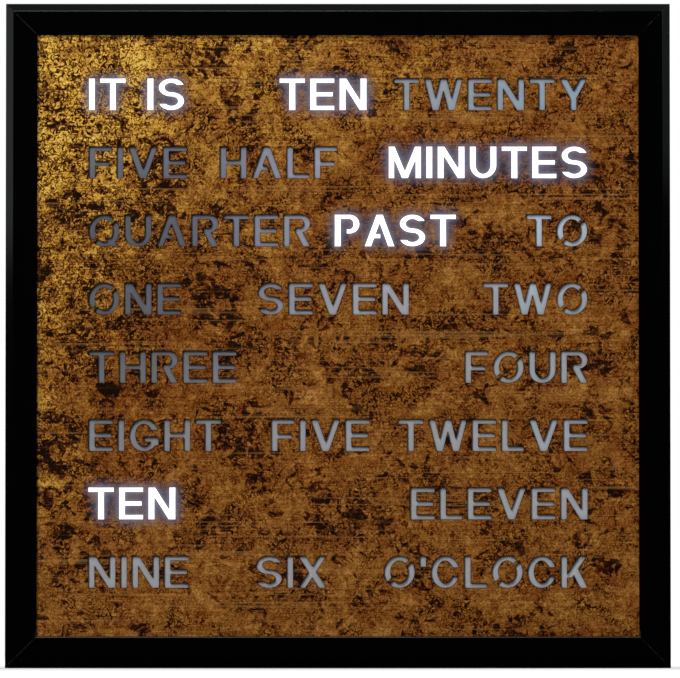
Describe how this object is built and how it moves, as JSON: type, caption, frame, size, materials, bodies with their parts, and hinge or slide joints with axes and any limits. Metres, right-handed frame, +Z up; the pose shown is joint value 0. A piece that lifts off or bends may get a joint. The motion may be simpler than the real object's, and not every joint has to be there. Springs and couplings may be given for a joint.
{
  "type": "word clock",
  "caption": "Square wall-hung word clock: time words cut through a patinated metal plate in a mitred black frame, each lit by LEDs in its own cell, with buttons and a battery door at the back.",
  "frame": {"origin": "mid-point between the two keyholes, on the outer face of the rear cover", "axes": "+Z up, +Y towards the wall, +X to the right seen from the front, the plate faces -Y"},
  "size_m": [0.3, 0.0375, 0.3],
  "materials": {
    "frame": "gloss black powder coat on aluminium",
    "plate": "brushed metal with a mottled copper and gold patina",
    "diffuser": "opal acrylic",
    "grid": "white moulded plastic",
    "board": "green solder mask",
    "led_lit": "white LED package, lit",
    "led": "white LED package",
    "bracket": "zinc plated",
    "screw": "nickel plated",
    "cover": "fine moulded texture, black",
    "button": "satin dark grey",
    "rubber": "matt",
    "chip": "moulded epoxy",
    "steel": "bright metal can",
    "connector": "glass filled plastic"
  },
  "bodies": {
    "clock": {"frame_top": "frame", "frame_bottom": "frame", "frame_left": "frame", "frame_right": "frame", "bracket_bottom_left": "bracket", "bracket_top_left": "bracket", "bracket_top_right": "bracket", "bracket_bottom_right": "bracket", "face_plate": "plate", "diffuser": "diffuser", "light_grid": "grid", "led_board": "board", "leds_it_is": "led_lit", "leds_ten_past": "led_lit", "leds_minutes": "led_lit", "leds_past": "led_lit", "leds_hour_ten": "led_lit", "leds_row_1": "led", "leds_row_2": "led", "leds_row_3": "led", "leds_row_4": "led", "leds_row_5": "led", "leds_row_6": "led", "leds_row_7": "led", "leds_row_8": "led", "control_board": "board", "microcontroller": "chip", "clock_chip": "chip", "led_drivers": "chip", "voltage_regulator": "chip", "capacitors": "steel", "clock_crystal": "steel", "coin_cell_holder": "connector", "coin_cell": "steel", "dc_jack": "connector", "pin_header": "connector", "header_socket": "connector", "switch_bodies": "connector", "rear_cover": "cover", "wall_pads": "rubber", "bracket_screws": "screw", "rear_cover_screws": "screw", "grid_screws": "screw", "control_board_screws": "screw"},
    "hour_button": {"hour_button": "button", "hour_switch_stem": "connector"},
    "minute_button": {"minute_button": "button", "minute_switch_stem": "connector"},
    "light_button": {"light_button": "button", "light_switch_stem": "connector"},
    "battery_door": {"battery_door": "cover"}
  },
  "joints": [
    {"name": "hour_press", "type": "slide", "parent": "clock", "child": "hour_button", "axis": [0, -1, 0], "range_m": [0, 0.0005], "stiffness_N_per_m": 150, "springref_m": -0.001},
    {"name": "minute_press", "type": "slide", "parent": "clock", "child": "minute_button", "axis": [0, -1, 0], "range_m": [0, 0.0005], "stiffness_N_per_m": 150, "springref_m": -0.001},
    {"name": "light_press", "type": "slide", "parent": "clock", "child": "light_button", "axis": [0, -1, 0], "range_m": [0, 0.0005], "stiffness_N_per_m": 150, "springref_m": -0.001},
    {"name": "battery_door_lift", "type": "slide", "parent": "clock", "child": "battery_door", "axis": [0, 1, 0], "range_m": [0, 0.012]}
  ]
}
